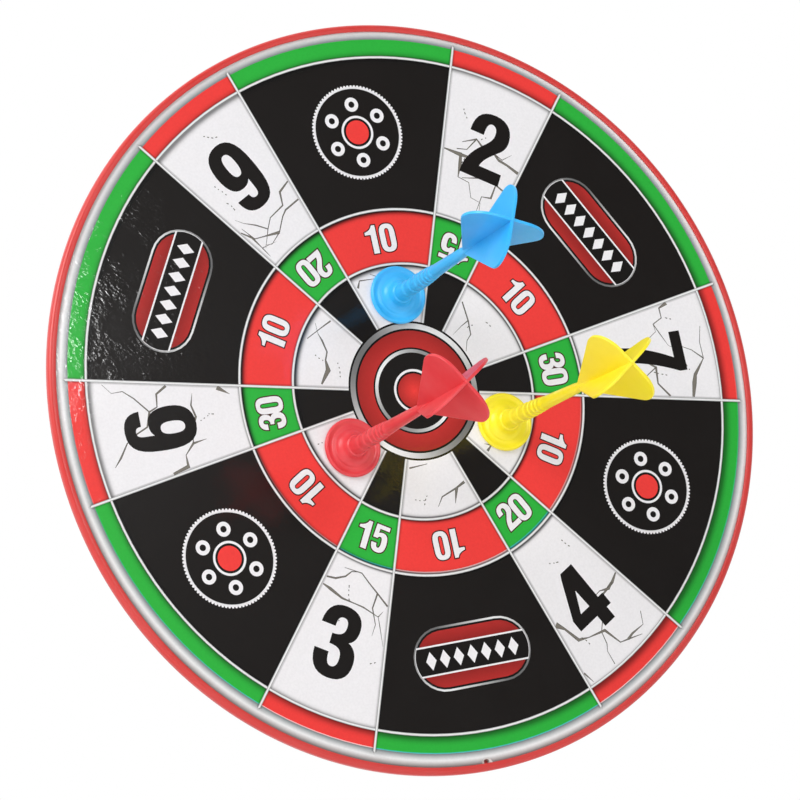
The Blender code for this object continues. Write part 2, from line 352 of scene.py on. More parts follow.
class Tree:
    """A geometry node tree in the making, with named inputs."""

    def __init__(self, name, **inputs):
        self.group = bpy.data.node_groups.new(name, "GeometryNodeTree")
        face = self.group.interface
        face.new_socket("Geometry", in_out="INPUT", socket_type="NodeSocketGeometry")
        for label, kind in inputs.items():
            face.new_socket(label.replace("_", " "), in_out="INPUT", socket_type=f"NodeSocket{kind}")
        face.new_socket("Geometry", in_out="OUTPUT", socket_type="NodeSocketGeometry")
        self.inputs = self.node("NodeGroupInput").outputs
        self.output = self.node("NodeGroupOutput").inputs["Geometry"]

    def node(self, kind, *inputs, **named):
        return add_node(self.group, kind, *inputs, **named)

    def link(self, source, target):
        self.group.links.new(source, target)

    def end(self, source):
        """Realizes, sets the material and joins the output."""
        realize = self.node("GeometryNodeRealizeInstances", Geometry=source)
        paint = self.node("GeometryNodeSetMaterial", Geometry=realize.outputs["Geometry"])
        self.link(self.inputs["Material"], paint.inputs["Material"])
        self.link(paint.outputs["Geometry"], self.output)
        return self.group


def swept(tree, path):
    """Sweeps the tree's input section along a path and merges what meets on the axis."""
    section = tree.node("GeometryNodeMeshToCurve", Mesh=tree.inputs["Geometry"])
    sweep = tree.node("GeometryNodeCurveToMesh", Curve=path, Fill_Caps=True)
    tree.link(section.outputs["Curve"], sweep.inputs["Profile Curve"])
    merge = tree.node("GeometryNodeMergeByDistance", Geometry=sweep.outputs["Mesh"], Distance=MERGE_DISTANCE)
    return tree.end(merge.outputs["Geometry"])


def turned_tree():
    """A section turned once round the z axis."""
    tree = Tree("Turned piece", Radius="Float", Steps="Int", Material="Material")
    steps, radius = tree.inputs["Steps"], tree.inputs["Radius"]
    circle = tree.node("GeometryNodeCurvePrimitiveCircle", Resolution=steps, Radius=radius)
    return swept(tree, circle.outputs["Curve"])


def strip_tree():
    """A section swept round the z axis as an open strip with closed ends."""
    tree = Tree("Edge strip", Radius="Float", Start="Float", Sweep="Float", Steps="Int", Material="Material")
    sockets = {"Radius": "Radius", "Start_Angle": "Start", "Sweep_Angle": "Sweep", "Resolution": "Steps"}
    inputs = {socket: tree.inputs[name] for socket, name in sockets.items()}
    arc = tree.node("GeometryNodeCurveArc", **inputs)
    return swept(tree, arc.outputs["Curve"])


def flight_tree():
    """One fin repeated round a shaft and grown together with it."""
    tree = Tree("Flight", Fin="Object", Fins="Int", Turn="Float", Material="Material")
    points = tree.node("GeometryNodePoints", Count=tree.inputs["Fins"])
    fin = tree.node("GeometryNodeObjectInfo", Object=tree.inputs["Fin"])
    step = tree.node("ShaderNodeMath", math.tau, tree.inputs["Fins"], settings={"operation": "DIVIDE"})
    index = tree.node("GeometryNodeInputIndex")
    terms = (index.outputs["Index"], step.outputs["Value"], tree.inputs["Turn"])
    angle = tree.node("ShaderNodeMath", *terms, settings={"operation": "MULTIPLY_ADD"})
    turn = tree.node("ShaderNodeCombineXYZ", Z=angle.outputs["Value"])
    copies = tree.node(
        "GeometryNodeInstanceOnPoints",
        Points=points.outputs["Points"],
        Instance=fin.outputs["Geometry"],
        Rotation=turn.outputs["Vector"],
    )
    fins = tree.node("GeometryNodeRealizeInstances", Geometry=copies.outputs["Instances"])
    union = {"operation": "UNION", "solver": "EXACT"}
    grown_together = tree.node("GeometryNodeMeshBoolean", settings=union, Self_Intersection=True)
    tree.link(tree.inputs["Geometry"], grown_together.inputs["Mesh 2"])
    tree.link(fins.outputs["Geometry"], grown_together.inputs["Mesh 2"])
    return tree.end(grown_together.outputs["Mesh"])


def placed(name, data):
    """A new object in the scene."""
    made = bpy.data.objects.new(name, data)
    bpy.context.scene.collection.objects.link(made)
    return made


def closed_mesh(shape, mesh):
    """Puts a shape into a mesh, facing outwards, after a test that it is closed."""
    bmesh.ops.recalc_face_normals(shape, faces=shape.faces)
    if not all(edge.is_manifold for edge in shape.edges):
        raise RuntimeError(f"{mesh.name} isn't closed")
    shape.to_mesh(mesh)
    shape.free()
    return mesh


def of_kind(items, kind):
    return [item for item in items if isinstance(item, kind)]


def baked(name, source, tree, **inputs):
    """The mesh that a tree makes of a source mesh, closed and facing outwards."""
    helper = placed(name, source)
    step = helper.modifiers.new(tree.name, "NODES")
    step.node_group = tree
    for item in tree.interface.items_tree:
        label = item.name.replace(" ", "_")
        if item.in_out == "INPUT" and label in inputs:
            step[item.identifier] = inputs[label]
    graph = bpy.context.evaluated_depsgraph_get()
    mesh = bpy.data.meshes.new_from_object(helper.evaluated_get(graph))
    helper.modifiers.clear()
    bpy.data.objects.remove(helper, do_unlink=True)
    shape = bmesh.new()
    shape.from_mesh(mesh)
    bmesh.ops.remove_doubles(shape, verts=shape.verts, dist=MERGE_DISTANCE)
    bmesh.ops.dissolve_degenerate(shape, edges=shape.edges, dist=MERGE_DISTANCE)
    return closed_mesh(shape, mesh)


def section_mesh(name, points, radius, closed=False):
    """A section of (radius, height) points as loose edges, laid out for a sweep along a circle."""
    count = len(points)
    edges = [(number, number + 1) for number in range(count - 1)]
    if closed:
        edges.append((count - 1, 0))
    mesh = bpy.data.meshes.new(name)
    mesh.from_pydata([(across - radius, -height, 0) for across, height in points], edges, [])
    return mesh


# Largest angles between faces that are shaded as one surface, in degrees
TRIM_SMOOTH = 35
CUP_SMOOTH = 40
FLIGHT_SMOOTH = 12


def piece(name, mesh, body, node, smooth=None):
    """Makes a finished piece that rides on a body and stands for a CAD node."""
    mesh.name = name
    made = placed(name, mesh)
    if smooth:
        mesh.shade_smooth()
        mesh.set_sharp_from_angle(angle=math.radians(smooth))
    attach(made, body)
    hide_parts(node)


# Layout of the print, in print units and degrees
FIELD_STEP = 60
WIDE_MIDDLES = range(0, 360, FIELD_STEP)
NARROW_MIDDLES = range(FIELD_STEP // 2, 360, FIELD_STEP)
WIDE_HALF = 20
NARROW_HALF = 10
INNER_WIRE = 0.3775
MIDDLE_WIRE = 0.5405
OUTER_WIRE = 0.9995
DOUBLE_EDGE = 1.0533

# Lines along the edges of inks that were printed slightly high, and what shows under the inks there
DOUBLE_REGISTER_LINE = 0.0028
RING_REGISTER_LINE = 0.0105
UNDER_GREEN = screen(72, 190, 190)
UNDER_RED = screen(244, 200, 200)

# How finely the print is cut: degrees in a step along an arc and in a part of a ring, and steps at the edge
ARC_STEP = 2.5
RING_PART = 10
SHEET_STEPS = 192

# What counts as zero, and the kind of cut that keeps the triangles inside the outlines
ROUNDING = 1e-6
CUT_TOLERANCE = 1e-7
CUT_INSIDE = 1

# The silver ring, bright at its crest, with screen levels and the tint that it takes outwards
SILVER_CREST = 1.0725
SILVER_HALF_WIDTH = 0.0205
SILVER_POWER = 1.3
SILVER_BRIGHT = 236
SILVER_FALL = 124
SILVER_DARKEST = 70.0
SILVER_TINT = (5, -2, -4)
SILVER_GUIDES = (1.0565, 1.0605, 1.0645, 1.0685, 1.0725, 1.0765, 1.0805, 1.0845, 1.0885, 1.0925)

# A wire across its width, as (distance from its middle, level on screen)
WIRE_PROFILE = ((0.0, 236), (0.0017, 229), (0.0028, 184), (0.0040, 100))
WIRE_HALF = WIRE_PROFILE[-1][0]
SPOKE_SIDES = (WIDE_HALF, FIELD_STEP - WIDE_HALF)
SPOKE_ANGLES = tuple(middle + side for middle in WIDE_MIDDLES for side in SPOKE_SIDES)
SPOKE_TOWARDS_WHITE = 0.0025
SPOKE_START = 0.02
SPOKE_END = 1.0610
SPOKE_TIP = 1.0745
SPOKE_TIP_WIDTH = 0.0012

# Printed shade beside each ring wire: the wire's radius and the shift of its soft shadow, then, inside and
# outside the wire, the strength of a thin dark line and the strength and softness of the shadow
RING_SHADES = (
    (INNER_WIRE, 0.0052, (0.38, 0.80, 0.0066), (0.18, 0.62, 0.0046)),
    (MIDDLE_WIRE, 0.0052, (0.38, 0.78, 0.0066), (0.18, 0.62, 0.0040)),
    (OUTER_WIRE, 0.0075, (0.04, 0.46, 0.0064), (0.15, 0.43, 0.0102)),
)
RING_LINE_AT = 0.0050
RING_LINE_SOFTNESS = 0.0018
RING_GUIDES = (0.0052, 0.0066, 0.0082, 0.0100, 0.0124, 0.0155, 0.0195, 0.0245, 0.0310)
SHADOW_TOWARDS = 134
SCREEN_POWER = 2.2
SPOKE_SHADE = 0.21
SPOKE_SHADE_AT = 0.0056
SPOKE_SHADE_SOFTNESS = 0.0018
SPOKE_GUIDES = (0.0060, 0.0078, 0.0105)

# Digit outlines in thousandths of a print unit: the outside, then any counters
DIGITS = {
    "0": (
        "M 0 105 C 44 105 61 82 61 32 L 61 -32 C 61 -82 44 -105 0 -105 C -44 -105 -61 -82 -61 -32"
        " L -61 32 C -61 82 -44 105 0 105",
        "M 0 72 C -13 72 -18 62 -18 40 L -18 -40 C -18 -62 -13 -72 0 -72 C 13 -72 18 -62 18 -40"
        " L 18 40 C 18 62 13 72 0 72",
    ),
    "1": ("M 45 105 L 17 105 C 10 82 -8 66 -45 56 L -45 37 L 0 37 L 0 -105 L 45 -105",),
    "2": (
        "M -58 36 C -57 84 -36 108 8 108 C 48 108 69 84 69 47 C 69 22 56 8 42 -4 C 20 -24 3 -42 -1 -61"
        " L 73 -61 L 73 -100 L -56 -100 C -54 -52 -32 -22 -8 2 C 12 22 22 34 22 53 C 22 68 15 77 5 77"
        " C -8 77 -13 62 -13 36",
    ),
    "3": (
        "M -76 46 C -74 88 -52 112 -15 112 C 22 112 44 94 44 60 C 44 36 36 19 20 12 C 40 4 50 -14 50 -40"
        " C 50 -82 26 -104 -14 -104 C -54 -104 -76 -82 -76 -31 L -31 -31 C -31 -58 -26 -69 -14 -69"
        " C 0 -69 5 -58 5 -38 C 5 -16 -6 -7 -36 -7 L -36 24 C -10 24 3 32 3 55 C 3 70 -3 77 -14 77"
        " C -26 77 -32 68 -32 46",
    ),
    "4": (
        "M -13 107 L 35 107 L 35 -18 L 55 -18 L 55 -57 L 37 -57 L 37 -95 L -6 -95 L -6 -57 L -78 -57"
        " L -78 -20 L -72 -8 L -22 93",
        "M -9 42 L -6 -20 L -43 -20",
    ),
    "5": (
        "M -50 102 L 55 102 L 55 72 L -18 72 L -20 40 C -10 45 0 48 12 48 C 45 48 58 22 58 -25"
        " C 58 -78 38 -102 -2 -102 C -38 -102 -58 -82 -58 -38 L -18 -38 C -18 -58 -12 -68 -2 -68"
        " C 10 -68 15 -55 15 -25 C 15 5 10 15 -2 15 C -12 15 -18 10 -20 0 L -55 0",
    ),
    "7": ("M -57 105 L 64 105 L 64 80 C 38 20 22 -40 16 -100 L -30 -100 C -24 -40 -4 18 21 69 L -57 69",),
    "9": (
        "M -54 -48 C -52 -84 -34 -101 2 -101 C 48 -101 66 -74 66 -2 L 66 16 C 66 86 46 117 4 117"
        " C -36 117 -58 92 -58 45 C -58 -4 -42 -27 -13 -27 C 2 -27 12 -24 20 -14 L 20 -40"
        " C 20 -60 16 -67 5 -67 C -5 -67 -10 -62 -10 -49",
        "M 4 82 C -8 82 -14 72 -14 45 C -14 18 -8 8 4 8 C 16 8 22 18 22 45 C 22 72 16 82 4 82",
    ),
}
CURVE_STEPS = 7

# Large digits as (angle, digit, top towards the centre, shift across, shift up)
LARGE_DIGITS = (
    (30, "2", False, 0, 0),
    (90, "7", False, 0, 0),
    (150, "4", True, 0, 0),
    (210, "3", True, 0, 0),
    (270, "9", True, -8, -13),
    (330, "9", False, 0, 0),
)
LARGE_RADIUS = 0.790

# Small pairs as (digit, shift across, shift up, width, height), and where each pair stands
SMALL_PAIRS = {
    "10": (("1", -30, -1, 0.40, 0.40), ("0", 22.5, -1, 0.40, 0.40)),
    "15": (("1", -28, -1, 0.40, 0.40), ("5", 24, 1, 0.40, 0.40)),
    "20": (("2", -27, 3, 0.366, 0.39), ("0", 24, -1, 0.40, 0.40)),
    "30": (("3", -18.6, -2, 0.373, 0.39), ("0", 23, -1, 0.40, 0.40)),
}
SMALL_PLACES = [(angle, "10", False) for angle in WIDE_MIDDLES] + [
    (30, "15", True),
    (90, "30", False),
    (150, "20", True),
    (210, "15", True),
    (270, "30", False),
    (330, "20", True),
]
SMALL_RADIUS = 0.457
SMALL_OUTLINE = 3.6
SMALL_OUTLINE_RED = 0.05
COUNTER_OUTLINE_SHARE = 0.8
THOUSANDTH = 0.001
MITRE_LIMIT = 0.6

# Rosettes and plaques stand in the wide fields, in turn
MOTIF_RADIUS = 0.777

# Rosettes: circles as (radius, steps), and how the ticks and dots stand round them
ROSETTE_ANGLES = (0, 120, 240)
ROSETTE_RIM = (0.1385, 72)
ROSETTE_RIM_SHADE = 0.92
ROSETTE_TICKS = 84
ROSETTE_TICK_CIRCLE = 0.1390
ROSETTE_TICK = (0.0036, 8)
ROSETTE_FIELD = (0.1315, 72)
ROSETTE_DOTS = 6
ROSETTE_DOT_CIRCLE = 0.084
ROSETTE_DOT = (0.0215, 28)
ROSETTE_DOT_MIDDLE = (0.0095, 20)
ROSETTE_MIDDLE = ((0.0500, 48), (0.0430, 48), (0.0360, 40))

# Plaques: radii of their round ends, with the half height of a band, and the row of lozenges
PLAQUE_ANGLES = (60, 180, 300)
PLAQUE_STRAIGHT = 0.092
PLAQUE_END_STEPS = 14
PLAQUE_RIM = 0.094
PLAQUE_RIM_LEVELS = (105, 236)
PLAQUE_RIM_TURN = 35
PLAQUE_LINE = 0.088
PLAQUE_FIELD = 0.082
PLAQUE_GLOW = 0.174
PLAQUE_BAND = (0.0895, 0.044)
PLAQUE_BAND_FIELD = (0.088, 0.039)
LOZENGES = range(-3, 4)
LOZENGE_SPACING = 0.044
LOZENGE_HALF_WIDTH = 0.0165
LOZENGE_HALF_HEIGHT = 0.027

BULLS_EYE_STEPS = 96


def polar(radius, angle):
    """A place in the print, by its distance from the middle and its angle."""
    turn = math.radians(angle)
    return radius * math.sin(turn), radius * math.cos(turn)


def arc_angles(start, end):
    """Angles from start to end on the common grid of steps, both ends included."""
    count = max(1, math.ceil((end - start) / ARC_STEP - ROUNDING))
    return [start + (end - start) * number / count for number in range(count + 1)]


def wedge(inner, outer, start, end):
    """The outline of part of a ring, or of a sector where the inner radius is zero."""
    outside = [polar(outer, angle) for angle in arc_angles(start, end)]
    if not inner:
        return [*outside, (0.0, 0.0)]
    return outside + [polar(inner, angle) for angle in reversed(arc_angles(start, end))]


def axes(angle):
    """The direction outwards at an angle, and the one across it, towards growing angles."""
    outward = Vector(polar(1.0, angle))
    return outward, Vector((outward.y, -outward.x))


def towards(turn):
    """The direction at a turn from the top, in radians."""
    return Vector((math.sin(turn), math.cos(turn)))


def disc(centre, radius, steps, start=0.0):
    """A circle's outline round a place, or places spread round it, from a turn in radians on."""
    turns = [start + math.tau * number / steps for number in range(steps)]
    return [(centre[0] + radius * math.sin(turn), centre[1] + radius * math.cos(turn)) for turn in turns]


def signed_area(outline):
    """Twice the area inside an outline, above zero where the outline runs anticlockwise."""
    return sum(a[0] * b[1] - b[0] * a[1] for a, b in zip(outline, [*outline[1:], outline[0]]))


def level_between(profile, position):
    """A level read off a table of (position, level) rows."""
    for (low, level), (high, following) in zip(profile, profile[1:]):
        if position <= high:
            return level + (following - level) * max(0.0, position - low) / (high - low)
    return profile[-1][1]


def spoke_offset(place, angle):
    """How far a place is from a spoke's line, towards growing angles, and how far along the spoke it is."""
    along = polar(1.0, angle)
    across = (along[1], -along[0])
    return place[0] * across[0] + place[1] * across[1], place[0] * along[0] + place[1] * along[1]


def spoke_middle(angle):
    """How far a spoke's bright middle stands off its nominal line, towards the white field beside it."""
    return SPOKE_TOWARDS_WHITE if angle % FIELD_STEP == WIDE_HALF else -SPOKE_TOWARDS_WHITE


def bell(away, softness):
    return math.exp(-0.5 * (away / softness) ** 2)


def print_shade(place):
    """The share of its ink that a place shows: less in the soft shadows and thin lines beside the wires."""
    shade = 1.0
    from_middle = math.hypot(*place)
    for radius, shift, inside, outside in RING_SHADES:
        line, shadow, softness = outside if from_middle > radius else inside
        beside = abs(from_middle - radius) - RING_LINE_AT
        shade *= 1 - line * bell(beside, RING_LINE_SOFTNESS)
        centre = polar(shift, SHADOW_TOWARDS)
        away = math.hypot(place[0] - centre[0], place[1] - centre[1]) - radius
        shade *= 1 - shadow * bell(away, softness)
    for angle in SPOKE_ANGLES:
        across, along = spoke_offset(place, angle)
        if 0 < along < SPOKE_TIP:
            beside = abs(across - spoke_middle(angle)) - SPOKE_SHADE_AT
            shade *= 1 - SPOKE_SHADE * bell(beside, SPOKE_SHADE_SOFTNESS)
    return shade ** SCREEN_POWER


def silver(place):
    """The printed metal ring: bright along its crest, darker beside it, cool inside and warm outside."""
    away = (math.hypot(*place) - SILVER_CREST) / SILVER_HALF_WIDTH
    level = max(SILVER_DARKEST, SILVER_BRIGHT - SILVER_FALL * abs(away) ** SILVER_POWER)
    warmth = max(-1.0, min(1.0, away))
    return scaled(screen(*(level + tint * warmth for tint in SILVER_TINT)), print_shade(place))


def ring_wire(radius):
    return lambda place: grey(level_between(WIRE_PROFILE, abs(math.hypot(*place) - radius)))


def spoke_wire(angle):
    def paint(place):
        across = spoke_offset(place, angle)[0] - spoke_middle(angle)
        return grey(level_between(WIRE_PROFILE, abs(across)))

    return paint


def flat(ink):
    return lambda place: ink


def shaded(ink):
    return lambda place: scaled(ink, print_shade(place))


def off_register(ink, under):
    """Ink along the edge of a field printed slightly high: what is under it shows towards the bottom."""

    def paint(place):
        shown = blended(ink, under, max(0.0, -place[1] / math.hypot(*place)))
        return scaled(shown, print_shade(place))

    return paint


def brushed(centre, dark, light, turn):
    """A printed metal rim whose brightness goes round with the angle."""

    def paint(place):
        angle = math.atan2(place[0] - centre[0], place[1] - centre[1])
        return grey(dark + (light - dark) * (0.5 + 0.5 * math.cos(2 * (angle - math.radians(turn)))))

    return paint


def glowing(centre, radius, inside, outside):
    """Ink that goes from one colour in the middle to another at the radius."""

    def paint(place):
        away = math.hypot(place[0] - centre[0], place[1] - centre[1]) / radius
        return blended(inside, outside, min(1.0, away))

    return paint


class Artwork:
    """Flat shapes laid over each other in printing order, and the guide lines that shading follows."""

    def __init__(self):
        self.points = []
        self.outlines = []
        self.paints = []
        self.guides = []

    def add(self, outline, paint):
        """Lays a shape over those before it. Outlines run anticlockwise."""
        ordered = outline if signed_area(outline) > 0 else list(reversed(outline))
        start = len(self.points)
        self.points.extend(ordered)
        self.outlines.append(list(range(start, start + len(ordered))))
        self.paints.append(paint)

    def guide(self, line):
        start = len(self.points)
        self.points.extend(line)
        self.guides.extend((start + number, start + number + 1) for number in range(len(line) - 1))

    def guide_circle(self, radius):
        self.guide([polar(radius, angle) for angle in arc_angles(0, 360)])

    def ring(self, inner, outer, paint):
        for start in range(0, 360, RING_PART):
            self.add(wedge(inner, outer, start, start + RING_PART), paint)

    def cut(self):
        """Points, triangles and, for each triangle, the number of the topmost shape over it, if any."""
        points = [Vector(point) for point in self.points]
        found = delaunay_2d_cdt(points, self.guides, self.outlines, CUT_INSIDE, CUT_TOLERANCE)
        return found[0], found[2], [max(over, default=None) for over in found[5]]


def digit_contours(digit):
    """The outlines of a digit as lists of points."""
    contours = []
    for path in DIGITS[digit]:
        words = path.split()
        points = []
        while words:
            move = words.pop(0)
            count = 6 if move == "C" else 2
            numbers = [float(words.pop(0)) for _ in range(count)]
            if move == "C":
                start = Vector(points[-1])
                first, second, end = (Vector(numbers[at : at + 2]) for at in (0, 2, 4))
                for number in range(1, CURVE_STEPS + 1):
                    t = number / CURVE_STEPS
                    s = 1 - t
                    place = s**3 * start + 3 * s * s * t * first + 3 * s * t * t * second + t**3 * end
                    points.append(tuple(place))
            else:
                points.append(tuple(numbers))
        if (Vector(points[0]) - Vector(points[-1])).length < ROUNDING:
            points.pop()
        contours.append(points)
    return contours


def grown(outline, amount):
    """An outline moved outwards by an amount, or inwards where it is negative."""
    side = 1 if signed_area(outline) > 0 else -1
    count = len(outline)
    moved = []
    for number in range(count):
        before, here, after = (Vector(outline[(number + step) % count]) for step in (-1, 0, 1))
        first = (here - before).normalized()
        second = (after - here).normalized()
        normal = Vector((first.y + second.y, -first.x - second.x))
        length_out = max(MITRE_LIMIT, normal.length_squared / 2) if normal.length else 1.0
        moved.append(tuple(here + normal * (side * amount / length_out) if normal.length else here))
    return moved


def set_upright(points, radius, angle, inward):
    """Points of a digit, in thousandths, placed at a radius and angle with the top outwards or inwards."""
    outward, across = axes(angle)
    sign = -1 if inward else 1
    middle = outward * radius
    return [tuple(middle + (outward * y + across * x) * (sign * THOUSANDTH)) for x, y in points]


def add_fields(art, inks):
    """The wide and the narrow fields with their rings, each from the edge to the middle."""
    for middles, half, double, under, field, ring, ring_under, heart in (
        (WIDE_MIDDLES, WIDE_HALF, inks.green, UNDER_GREEN, inks.black, inks.red, UNDER_RED, inks.white),
        (NARROW_MIDDLES, NARROW_HALF, inks.red, UNDER_RED, inks.white, inks.green, UNDER_GREEN, inks.black),
    ):
        for middle in middles:
            span = (middle - half, middle + half)
            double_line = wedge(DOUBLE_EDGE - DOUBLE_REGISTER_LINE, DOUBLE_EDGE, *span)
            ring_line = wedge(MIDDLE_WIRE - RING_REGISTER_LINE, MIDDLE_WIRE, *span)
            art.add(wedge(OUTER_WIRE, DOUBLE_EDGE, *span), shaded(double))
            art.add(double_line, off_register(double, under))
            art.add(wedge(MIDDLE_WIRE, OUTER_WIRE, *span), shaded(field))
            art.add(wedge(INNER_WIRE, MIDDLE_WIRE, *span), shaded(ring))
            art.add(ring_line, off_register(ring, ring_under))
            art.add(wedge(0.0, INNER_WIRE, *span), shaded(heart))


def inside_field(field, margin):
    """A test whether a place lies in a field of (inner, outer, middle angle, half angle)."""
    inner, outer, middle, half = field

    def test(place):
        radius = math.hypot(*place)
        if not inner + margin < radius < outer - margin:
            return False
        away = (math.degrees(math.atan2(*place)) - middle + 180) % 360 - 180
        return abs(away) < half - math.degrees(margin / radius)

    return test


# Printed cracks, in print units: how many a field has, how they run, how wide they get and how they fork.
# Pairs are the limits of what chance picks. The slant is in degrees, and the turns are in radians.
OUTER_CRACKS = 3
INNER_CRACKS = 2
INNER_CRACKS_FROM = 0.20
CRACK_MARGIN = 0.009
CRACK_FROM = (0.15, 0.9)
CRACK_OFF_EDGE = 0.001
CRACK_SLANT = 60
CRACK_RUN = (0.12, 0.32)
CRACK_STEP = (0.022, 0.060)
CRACK_TURN = 0.75
CRACK_WIDTH = (0.0048, 0.0085)
CRACK_UNEVEN = (0.55, 1.2)
CRACK_THINNING = 0.8
CRACK_PATCH_CHANCE = 0.22
CRACK_PATCH = 2.4
CRACK_EDGE = 0.0015
CRACK_EDGE_SHADE = 0.42
CRACK_LEAST_WIDTH = 0.0003
FORK_AFTER = 3
FORK_TURN = (0.8, 1.4)
FORK_RUN = (0.06, 0.16)
FORK_WIDTH = 0.7

# Rows of specks beside the cracks, in the same units
SPECK_COUNT = (2, 5)
SPECK_FROM = (0.1, 0.9)
SPECK_SIDE = 0.7
SPECK_LENGTH = (0.003, 0.008)
SPECK_WIDTHS = (0.0034, 0.0020)
SPECK_SHADE = 0.5
SPECK_SPACING = 0.013
SPECK_TURN = 0.4


def crack_line(chance, start, heading, run, inside):
    """The corners of an angular line that ends after its run or at the field's edge."""
    line = [Vector(start)]
    travelled = 0.0
    while travelled < run:
        step = chance.uniform(*CRACK_STEP)
        turn = heading + chance.uniform(-CRACK_TURN, CRACK_TURN)
        following = line[-1] + towards(turn) * step
        if not inside(following):
            break
        line.append(following)
        travelled += step
    return line


def add_stroke(art, line, widths, ink):
    """A flat stroke along a line, with its own width at each corner."""
    last = len(line) - 1
    sides = []
    for number, (here, width) in enumerate(zip(line, widths)):
        along = (line[min(number + 1, last)] - line[max(number - 1, 0)]).normalized()
        across = Vector((along.y, -along.x)) * (width / 2)
        sides.append((tuple(here - across), tuple(here + across)))
    for (left, right), (next_left, next_right) in zip(sides, sides[1:]):
        art.add([left, right, next_right, next_left], flat(ink))


def add_crack(art, chance, line, width, inks):
    """One crack: dark edges, a paler inside, wide patches here and there and a fine end."""
    last = max(1, len(line) - 1)
    widths = []
    for number in range(len(line)):
        patch = CRACK_PATCH if chance.random() < CRACK_PATCH_CHANCE else 1.0
        thinned = 1 - CRACK_THINNING * number / last
        widths.append(width * patch * chance.uniform(*CRACK_UNEVEN) * thinned)
    add_stroke(art, line, widths, scaled(inks.crack, CRACK_EDGE_SHADE))
    inside_widths = [max(CRACK_LEAST_WIDTH, wide - 2 * CRACK_EDGE) for wide in widths]
    add_stroke(art, line, inside_widths, inks.crack)


def add_forked_crack(art, chance, field, side, inks):
    """A crack from one side of a field, with a branch where it is long enough."""
    inner, outer, middle, half = field
    inside = inside_field(field, CRACK_MARGIN)
    radius = inner + (outer - inner) * chance.uniform(*CRACK_FROM)
    edge = half - math.degrees((CRACK_MARGIN + CRACK_OFF_EDGE) / radius)
    start = polar(radius, middle + side * edge)
    heading = math.radians(middle - side * 90 + chance.uniform(-CRACK_SLANT, CRACK_SLANT))
    width = chance.uniform(*CRACK_WIDTH)
    line = crack_line(chance, start, heading, chance.uniform(*CRACK_RUN), inside)
    add_crack(art, chance, line, width, inks)
    if len(line) > FORK_AFTER:
        fork = line[chance.randrange(1, len(line) - 1)]
        turn = heading + chance.choice((-1, 1)) * chance.uniform(*FORK_TURN)
        branch = crack_line(chance, fork, turn, chance.uniform(*FORK_RUN), inside)
        add_crack(art, chance, branch, width * FORK_WIDTH, inks)


def add_specks(art, chance, field, inks):
    """A wandering row of specks."""
    inner, outer, middle, half = field
    inside = inside_field(field, CRACK_MARGIN)
    radius = inner + (outer - inner) * chance.uniform(*SPECK_FROM)
    place = Vector(polar(radius, middle + half * chance.uniform(-SPECK_SIDE, SPECK_SIDE)))
    heading = chance.uniform(0, math.tau)
    for _ in range(chance.randrange(*SPECK_COUNT)):
        speck = towards(heading) * chance.uniform(*SPECK_LENGTH)
        if inside(place) and inside(place + speck):
            add_stroke(art, [place, place + speck], SPECK_WIDTHS, scaled(inks.crack, SPECK_SHADE))
        place = place + speck.normalized() * SPECK_SPACING
        heading += chance.uniform(-SPECK_TURN, SPECK_TURN)


def add_cracks(art, inks):
    """Cracks, their branches and rows of specks over the white fields, the same on every run."""
    chance = random.Random(inks.crack_seed)
    fields = [(MIDDLE_WIRE, OUTER_WIRE, middle, NARROW_HALF, OUTER_CRACKS) for middle in NARROW_MIDDLES]
    fields += [(INNER_CRACKS_FROM, INNER_WIRE, middle, WIDE_HALF, INNER_CRACKS) for middle in WIDE_MIDDLES]
    for *field, count in fields:
        for number in range(count):
            add_forked_crack(art, chance, field, -1 if number % 2 else 1, inks)
        for _ in range(count):
            add_specks(art, chance, field, inks)


def add_rosette(art, angle, inks):
    """A milled ring of white ticks round six dots and a red middle."""
    centre = polar(MOTIF_RADIUS, angle)
    art.add(disc(centre, *ROSETTE_RIM), flat(scaled(inks.white, ROSETTE_RIM_SHADE)))
    for place in disc(centre, ROSETTE_TICK_CIRCLE, ROSETTE_TICKS):
        art.add(disc(place, *ROSETTE_TICK), flat(inks.white))
    art.add(disc(centre, *ROSETTE_FIELD), flat(inks.black))
    for place in disc(centre, ROSETTE_DOT_CIRCLE, ROSETTE_DOTS, math.radians(angle)):
        art.add(disc(place, *ROSETTE_DOT), flat(inks.white))
        art.add(disc(place, *ROSETTE_DOT_MIDDLE), flat(inks.black))
    for circle, ink in zip(ROSETTE_MIDDLE, (inks.white, inks.black, inks.red)):
        art.add(disc(centre, *circle), flat(ink))


